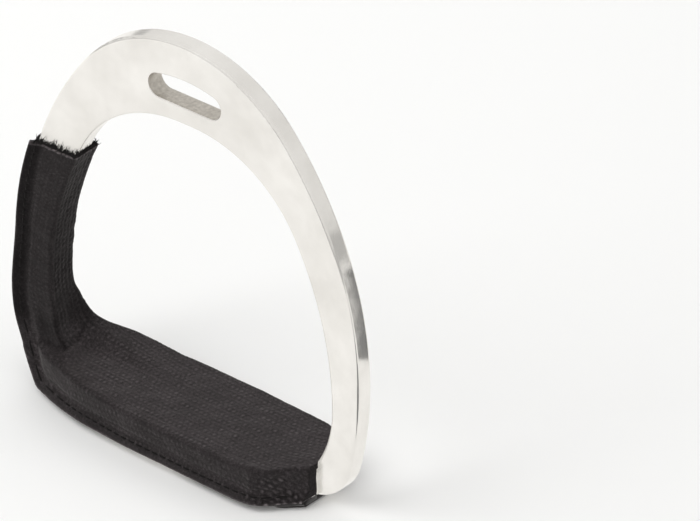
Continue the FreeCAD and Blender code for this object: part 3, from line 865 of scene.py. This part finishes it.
cell_along = weave[..., 0] / WEFT + WANDER * grid_noise(weave, *WANDER_ALONG)
cell_across = weave[..., 1] / WARP + WANDER * grid_noise(weave, *WANDER_ACROSS)
picks = np.random.default_rng(PICK_SEED).uniform(*PICK_RANGE, PICK_TABLE)
pick = picks[
    np.round(cell_along).astype(int) % PICK_TABLE[0],
    np.round(cell_across).astype(int) % PICK_TABLE[1],
]
wave_along = np.cos(2 * math.pi * cell_along)
wave_across = np.cos(2 * math.pi * cell_across)
wave_pair = np.cos(math.pi * cell_across)
relief = RELIEF_WEFT * wave_along + RELIEF_WARP * wave_across
relief += RELIEF_KNOT * wave_along * wave_pair

fold_start = half_count - FOLD_COLUMNS
on_lip = (edge_column < LIP_COLUMNS)[None, :]
on_face = (edge_column >= half_count)[None, :]
on_branch = fade(height, TREAD_Z + BRANCH_RISE[0], TREAD_Z + BRANCH_RISE[1])
end_wall = fade(plan[..., 0], *END_X) * fade(plan[..., 1], *END_Y)
end_wall *= fade(height, TREAD_Z - END_BELOW[0], TREAD_Z - END_BELOW[1])
strength = np.interp(
    edge_column,
    [0, LIP_COLUMNS, fold_start, half_count],
    [RELIEF_LIP, RELIEF_WALL, RELIEF_WALL, RELIEF_FACE],
)[None, :]
strength = strength * (1 + RELIEF_MORE_AT_END * end_wall)
strength = strength * (1 + RELIEF_MORE_ON_BRANCH * on_face * on_branch)
middle_out = middle + normals * (strength * relief * pick)[..., None]

# Painted shade in the webbing's colour: lips and walls darker than the face, the branch darker
# than the tread.
painted_shade = np.interp(edge_column, [*PAINTED_SHADE_COLUMNS, fold_start + 1, half_count], PAINTED_SHADE_LEVELS)
painted_shade = np.repeat(painted_shade[None, :], len(base_grid), 0)
for where, (on_tread, less_on_branch) in (
    (on_lip, PAINTED_SHADE_LIP),
    (~on_lip, PAINTED_SHADE_WALL),
    (on_face, PAINTED_SHADE_FACE),
):
    painted_shade *= np.where(where, on_tread - less_on_branch * on_branch, 1)
# Painted shade in the crease's pocket at the inside corner.
painted_shade *= 1 - PAINTED_CREASE_SHADE * np.clip(crease * corner, 0, 1)
# Lighter and darker specks of the weave on the end's front corner.
painted_shade *= 1 + end_wall * (END_SPECKS * np.clip(relief * pick, *END_SPECK_RANGE))
# Lighter along the top rows.
painted_shade[:LIGHTER_TOP_ROWS] *= TOP_ROWS_LIGHTER
# Painted shade on the turned-in hem.
painted_shade[-HEM_STEPS:] *= PAINTED_HEM_SHADE

webbing = slab("webbing_cover", middle_out, middle - normals * WEBBING, weave)
add_painted_shade(webbing, painted_shade)
merge_points(webbing)
webbing.data.materials.append(webbing_material())

# ---------------------------------------------------------------- the vinyl panel

# The vinyl's columns, from a raw edge: the lip, the rounded edge, and the flat between the edges.
VINYL_LIP_COLUMNS = 8
VINYL_ROUND_COLUMNS = 14
VINYL_FLAT_COLUMNS = 23
# The flat's half width where the two rounded edges would meet.
LEAST_FLAT = 0.5
# The vinyl's outer face lies this far under the webbing's, less the vinyl itself.
LAP = WEBBING + 0.08
# The vinyl's unevenness: (seed, size, height) of its ripples and folds, which are longer in Y.
VINYL_RIPPLE = (21, 17.0, 0.42)
VINYL_FOLD = (22, 7.0, 0.22)
VINYL_FOLD_STRETCH = (1.0, 0.35, 1.0)
# How much of that there is, and of the stitches' gathers, by the column from the raw edge.
LOOSE = ((0, 8, 12), (0.0, 0.15, 1.0))
GATHERED = ((0, 7, 12), (1.0, 1.0, 0.0))
GATHERS = 0.12


def lip_point(f, hand, reach, drop):
    """A point on a lip, at a reach from its root and a drop below the webbing's outer face."""
    cos, sin = f.lip_way
    n = f.base + reach * cos + drop * sin
    return n, f.wall(f.base, hand) + reach * sin - drop * cos


def vinyl_columns(f, hand, inset):
    """Half a section of the vinyl's outer face moved in by inset, from a lip's raw edge on."""
    drop = LAP + VINYL - inset
    shares = np.linspace(0, 1, VINYL_LIP_COLUMNS)
    columns = [lip_point(f, hand, LIP - VINYL_LIP * share, drop) for share in shares]
    start_n, start_y = columns[-1]
    end_n = f.depth - inset
    rounded = np.minimum(start_y - LEAST_FLAT, f.vinyl_round)
    for turn in np.radians(np.linspace(0, 90, VINYL_ROUND_COLUMNS + 1)[1:]):
        n = start_n + (end_n - start_n) * math.sin(turn)
        columns.append((n, start_y - rounded * (1 - math.cos(turn))))
    return columns


def vinyl_grid(f, inset):
    """The vinyl's outer face, moved in by inset, as a grid of points."""
    front_half, back_half = (vinyl_columns(f, hand, inset) for hand in (-1, 1))
    edge_n, edge_y = front_half[-1]
    shares = np.linspace(0, 1, VINYL_FLAT_COLUMNS + 2)[1:-1]
    flat = [(edge_n, -edge_y + (back_half[-1][1] + edge_y) * share) for share in shares]
    columns = [(n, -y) for n, y in front_half] + flat + back_half[::-1]
    return np.stack([f.placed(n, y) for n, y in columns], 1)


def vinyl_sheets(f):
    """(outer grid, inner grid, place on the flat cloth) of the vinyl, with its hem."""
    outside, lining = vinyl_grid(f, 0.0), vinyl_grid(f, VINYL)
    cloth = on_cloth(f.along, run_lengths(outside))
    edge = from_edge(outside)
    ripple = VINYL_RIPPLE[2] * grid_noise(outside, *VINYL_RIPPLE[:2])
    fold = VINYL_FOLD[2] * grid_noise(outside * VINYL_FOLD_STRETCH, *VINYL_FOLD[:2])
    gathers = GATHERS * np.cos(2 * math.pi * f.along / STITCH_PITCH)[:, None]
    shift = np.interp(edge, *LOOSE) * (ripple + fold) + np.interp(edge, *GATHERED) * gathers
    move = grid_normals(outside) * shift[..., None]
    outside, hem_cloth = hemmed(outside + move, cloth, NO_TOP, HEM_LIFT)
    lining, _ = hemmed(lining + move, cloth, NO_TOP, HEM_LIFT + VINYL)
    lining[-HEM_STEPS:, :, 0] -= VINYL
    outside[..., 2] = np.maximum(outside[..., 2], 0)
    return [grid[:, ::-1] for grid in (outside, lining, hem_cloth)]


vinyl = slab("vinyl_cover", *vinyl_sheets(Frame(*VINYL_STATIONS)))
merge_points(vinyl)
vinyl.data.materials.append(vinyl_material())

# ---------------------------------------------------------------- the seams' threads

THREAD_RADIUS = 0.3
RING = 8
ARC_POINTS = 11
# Each stitch is an arc over the cloth: its rise, its fullness, and how deep its ends dive.
STITCH_RISE = 0.42
STITCH_FULLNESS = 0.6
STITCH_DIVE = 0.16
# A tube's ends are rounded: the power of the rounding, and the least share of its area.
END_POWER = 8
END_LEAST = 0.16


def tubes(name, paths, ups, radius, material, taper=0.0):
    """One mesh of closed round tubes, each along a short path, with a UV map of the thread."""
    count = paths.shape[1]
    way = np.gradient(paths, axis=1)
    way /= np.linalg.norm(way, axis=2, keepdims=True)
    side = np.cross(way, ups[:, None, :])
    side /= np.linalg.norm(side, axis=2, keepdims=True)
    rise = np.cross(side, way)
    turn = np.linspace(0, 2 * math.pi, RING, endpoint=False)
    share = np.linspace(-1, 1, count)
    thick = radius * (1 - taper * (share + 1) / 2)
    thick = thick * np.sqrt(np.maximum(1 - np.abs(share) ** END_POWER, END_LEAST))
    ring = (
        side[:, :, None, :] * np.cos(turn)[None, None, :, None]
        + rise[:, :, None, :] * np.sin(turn)[None, None, :, None]
    )
    points = paths[:, :, None, :] + ring * thick[None, :, None, None]
    faces, size = [], count * RING
    for first in range(0, len(paths) * size, size):
        faces.append([first + k for k in range(RING)])
        faces.append([first + size - 1 - k for k in range(RING)])
        for start in range(first, first + size - RING, RING):
            for k in range(RING):
                a, b = start + k, start + (k + 1) % RING
                faces.append((a, a + RING, b + RING, b))
    obj = mesh_object(name, (points.reshape(-1, 3) * MM).tolist(), faces)
    along = run_lengths(paths)[:, :, None]
    around = (turn * radius)[None, None, :]
    add_uv(obj.data, np.stack(np.broadcast_arrays(along, around), 3))
    shade_smooth(obj.data)
    obj.data.materials.append(material)
    return obj


def seam_thread(name, hand, drop, outward, material):
    """The visible runs of one thread, each an arc that dives into the cloth at both its ends."""
    f = weave_frame
    n, y = lip_point(f, hand, SEAM_REACH, drop)
    line = f.placed(n, hand * y)
    above_n, above_y = lip_point(f, hand, SEAM_REACH, drop - 1.0)
    away = (f.placed(above_n, hand * above_y) - line) * outward
    marks = SEAM_END + STITCH_PITCH * np.arange(
        int((f.along[-1] - 2 * SEAM_END) / STITCH_PITCH) + 1
    )
    spread = np.linspace(-STITCH_LENGTH / 2, STITCH_LENGTH / 2, ARC_POINTS)
    at = marks[:, None] + spread[None, :]
    arc = np.sin(np.linspace(0, math.pi, ARC_POINTS)) ** STITCH_FULLNESS
    height = STITCH_RISE * arc - STITCH_DIVE

    def follow(values):
        return np.stack([np.interp(at, f.along, values[:, k]) for k in range(3)], 2)

    up = follow(away)
    path = follow(line) + up * height[None, :, None]
    return tubes(name, path, up[:, ARC_POINTS // 2], THREAD_RADIUS, material)


thread = thread_material()
seams = [
    seam_thread(f"{side}_{kind}_stitches", hand, drop, outward, thread)
    for side, hand in (("front", -1), ("back", 1))
    for kind, drop, outward in (("needle", 0.0, 1), ("bobbin", LAP + VINYL, -1))
]

# ---------------------------------------------------------------- the frayed top

# Loose strands along the webbing's top edge, from and to these columns off its ends, with a share
# of them moved to its front half and crowded towards the lip.
FRAY_SEED = 12
FRAY_COUNT = 900
FRAY_MARGIN = (2, 3)
FRAY_FRONT = 0.55
FRAY_CROWD = 1.3
FRAY_FIRST = 4
# Each strand's root below the outer face, length, lean, bend, and its start below the edge.
FRAY_ROOT = 0.1
FRAY_LENGTH = (0.5, 2.3)
FRAY_LENGTH_SHARE = (0.6, 1.0)
FRAY_LEAN = 0.3
FRAY_BEND = 0.3
FRAY_INWARD = 0.2
FRAY_BURIED = -0.35
FRAY_POINTS = 6
FRAY_RADIUS = 0.15
FRAY_TAPER = 0.6


def frayed_top(row, way, outward):
    """Strands up from a row of points on the raw edge, with the edge's way up and its normals."""
    rng = np.random.default_rng(FRAY_SEED)
    place = rng.uniform(FRAY_MARGIN[0], len(row) - FRAY_MARGIN[1], FRAY_COUNT)
    front = rng.uniform(size=FRAY_COUNT) < FRAY_FRONT
    crowd = rng.uniform(size=front.sum()) ** FRAY_CROWD
    place[front] = FRAY_FIRST + (half_count - FRAY_FIRST) * crowd
    whole = place.astype(int)
    part = (place - whole)[:, None]
    out = outward[whole]
    root = row[whole] * (1 - part) + row[whole + 1] * part
    root = root - out * rng.uniform(FRAY_ROOT, WEBBING, (FRAY_COUNT, 1))
    length = rng.uniform(*FRAY_LENGTH, (FRAY_COUNT, 1))
    length = length * rng.uniform(*FRAY_LENGTH_SHARE, (FRAY_COUNT, 1))
    lean = rng.normal(0, FRAY_LEAN, (FRAY_COUNT, 3)) - FRAY_INWARD * out
    bend = rng.normal(0, FRAY_BEND, (FRAY_COUNT, 3))
    step = np.linspace(FRAY_BURIED, 1, FRAY_POINTS)[None, :, None]
    strands = root[:, None, :] + length[:, None, :] * (
        step * (way[whole] + lean)[:, None, :] + step**2 * bend[:, None, :]
    )
    return tubes("webbing_fray", strands, out, FRAY_RADIUS, thread, FRAY_TAPER)


top_way = middle[0] - middle[1]
top_way /= np.linalg.norm(top_way, axis=1, keepdims=True)
fray = frayed_top(middle[0], top_way, normals[0])

# ---------------------------------------------------------------- the pad

PAD_VOXEL = 0.8
PAD_SMOOTHING = 0.5
PAD_PASSES = 4


def rounded_pad():
    """The pad's CAD solid, remeshed evenly and rounded."""
    pad = linked("tread_pad_foam", nodes["tread_pad"].data.copy())
    remesh = pad.modifiers.new("even", "REMESH")
    remesh.mode = "VOXEL"
    remesh.voxel_size = PAD_VOXEL * MM
    smooth = pad.modifiers.new("round", "SMOOTH")
    smooth.factor = PAD_SMOOTHING
    smooth.iterations = PAD_PASSES
    bpy.context.view_layer.update()
    evaluated = pad.evaluated_get(bpy.context.evaluated_depsgraph_get())
    mesh = bpy.data.meshes.new_from_object(evaluated)
    pad.modifiers.clear()
    pad.data = mesh
    shade_smooth(mesh)
    mesh.materials.clear()
    mesh.materials.append(foam_material())
    return pad


pad = rounded_pad()

# ---------------------------------------------------------------- the pieces' places in the frame

nodes["stirrup_iron"].material_slots[0].material = polished_aluminium()

# Reflections leave out the cover, which keeps the metal next to it as clean as in the photograph.
for piece, node, slot in (
    (webbing, "webbing_panel", "black_webbing"),
    (vinyl, "vinyl_panel", "black_vinyl"),
    (pad, "tread_pad", "pad_rubber"),
    (seams[0], "front_needle_thread", "thread"),
    (seams[1], "front_bobbin_thread", "thread"),
    (seams[2], "back_needle_thread", "thread"),
    (seams[3], "back_bobbin_thread", "thread"),
):
    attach(piece, "root")
    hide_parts(node)
    piece.visible_glossy = False
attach(fray, "root")
fray.visible_glossy = False

# ---------------------------------------------------------------- the camera

AZIMUTH = math.radians(40.98)
ELEVATION = math.radians(32.14)
ROLL = math.radians(1.31)
DISTANCE = 6204.0
VIEW_WIDTH = 232.9
# The picture's middle, to the right of and above a point at this height over the origin.
AIM_HEIGHT = 74.2
AIM_RIGHT = 51.35
AIM_UP = -2.53
SENSOR = 36.0
CLIP = (0.5, 60.0)

eye_way = Vector(
    (
        math.sin(AZIMUTH) * math.cos(ELEVATION),
        -math.cos(AZIMUTH) * math.cos(ELEVATION),
        math.sin(ELEVATION),
    )
)
level = Vector((math.cos(AZIMUTH), math.sin(AZIMUTH), 0))
upright = eye_way.cross(level)
right = math.cos(ROLL) * level - math.sin(ROLL) * upright
up = math.sin(ROLL) * level + math.cos(ROLL) * upright
target = Vector((0, 0, AIM_HEIGHT)) + AIM_RIGHT * right + AIM_UP * up

camera_data = bpy.data.cameras.new("camera")
camera_data.sensor_width = SENSOR
camera_data.lens = SENSOR * DISTANCE / VIEW_WIDTH
camera_data.clip_start, camera_data.clip_end = CLIP
camera = linked("camera", camera_data)
turned = Matrix((right, up, eye_way)).transposed().to_4x4()
camera.matrix_world = Matrix.Translation((target + eye_way * DISTANCE) * MM) @ turned
bpy.context.scene.camera = camera

# ---------------------------------------------------------------- lamps, floor and light tent

# Places and sizes in metres and powers in watts, from here on.
LAMP_AIM = Vector((0, 0, 0.07))
LAMPS = (
    ("key", (-0.7, -0.9, 1.4), (1.2, 1.2), 13.5),
    ("side", (1.5, -0.5, 0.9), (1.0, 1.4), 2),
    ("back", (-0.9, 1.2, 0.9), (1.6, 1.0), 6),
)
SKY = 0.62
FLOOR_HALF = 40.0
FLOOR_DROP = 0.0002
FLOOR_PAPER = (0.93, 0.93, 0.92, 1)
FLOOR_ROUGHNESS = 0.9

for name, place, size, power in LAMPS:
    lamp = bpy.data.lights.new(name, "AREA")
    lamp.shape = "RECTANGLE"
    lamp.size, lamp.size_y = size
    lamp.energy = power
    light = linked(name, lamp)
    light.location = place
    light.visible_glossy = False
    light.rotation_mode = "QUATERNION"
    light.rotation_quaternion = (LAMP_AIM - Vector(place)).to_track_quat("-Z", "Y")

world = bpy.data.worlds.new("studio")
bpy.context.scene.world = world
world.use_nodes = True
background = world.node_tree.nodes["Background"]
background.inputs["Color"].default_value = (1, 1, 1, 1)
background.inputs["Strength"].default_value = SKY


def square(half):
    """A level square's corner points and face."""
    return [(-half, -half, 0), (half, -half, 0), (half, half, 0), (-half, half, 0)], [(0, 1, 2, 3)]


def block(low, high):
    """A box's corner points and faces."""
    points = [
        (x, y, z) for x in (low[0], high[0]) for y in (low[1], high[1]) for z in (low[2], high[2])
    ]
    faces = [(0, 1, 3, 2), (4, 6, 7, 5), (0, 4, 5, 1), (2, 3, 7, 6), (0, 2, 6, 4), (1, 5, 7, 3)]
    return points, faces


def reflected_only(name, shape, strength, colour):
    """A lit shape round the object that only its glossy surfaces show, as a light tent does."""
    obj = mesh_object(name, *shape)
    paint = Nodes(name + "_paint")
    paint.surface(
        Base_Color=(0, 0, 0, 1), Emission_Color=(*colour, 1), Emission_Strength=strength
    )
    obj.data.materials.append(paint.material)
    obj.visible_camera = False
    obj.visible_diffuse = False
    obj.visible_shadow = False
    obj.visible_transmission = False


floor = mesh_object("floor", *square(FLOOR_HALF))
floor.location.z = -FLOOR_DROP
floor_paint = Nodes("floor_paper")
floor_paint.surface(Base_Color=FLOOR_PAPER, Roughness=FLOOR_ROUGHNESS)
floor.data.materials.append(floor_paint.material)

# The tent's colour, its floor's and its walls' strength, and the walls' low and high corners.
TENT = (0.965, 0.945, 0.915)
TENT_HALF = 4
TENT_FLOOR_LIGHT = 0.95
TENT_WALL_LIGHT = 0.80
TENT_WALLS = ((-TENT_HALF, -TENT_HALF, -0.01), (TENT_HALF, TENT_HALF, 5))
# The black cards, and the dim low edges round the object, by their low and high corners too.
BLACK = (0, 0, 0)
POST = ((0.106, 0.044, 0.030), (0.122, 0.062, 0.086))
STRIP = ((0.10, -0.07, 0.001), (0.70, -0.01, 0.002))
EDGE_LIGHT = 0.42
EDGES = (
    ((-1.10, -1.10, 0.0), (-1.05, 1.10, 0.20)),
    ((1.05, -1.10, 0.0), (1.10, 1.10, 0.20)),
    ((-1.05, 1.05, 0.0), (1.05, 1.10, 0.20)),
    ((-1.05, -1.10, 0.0), (1.05, -1.05, 0.20)),
)

reflected_only("tent_floor", square(TENT_HALF), TENT_FLOOR_LIGHT, TENT)
reflected_only("tent_walls", block(*TENT_WALLS), TENT_WALL_LIGHT, TENT)
reflected_only("dark_post", block(*POST), 0.0, BLACK)
reflected_only("dark_strip", block(*STRIP), 0.0, BLACK)
for k, edge in enumerate(EDGES):
    reflected_only(f"dark_edge_{k}", block(*edge), EDGE_LIGHT, TENT)

bpy.context.scene.view_settings.view_transform = "Standard"
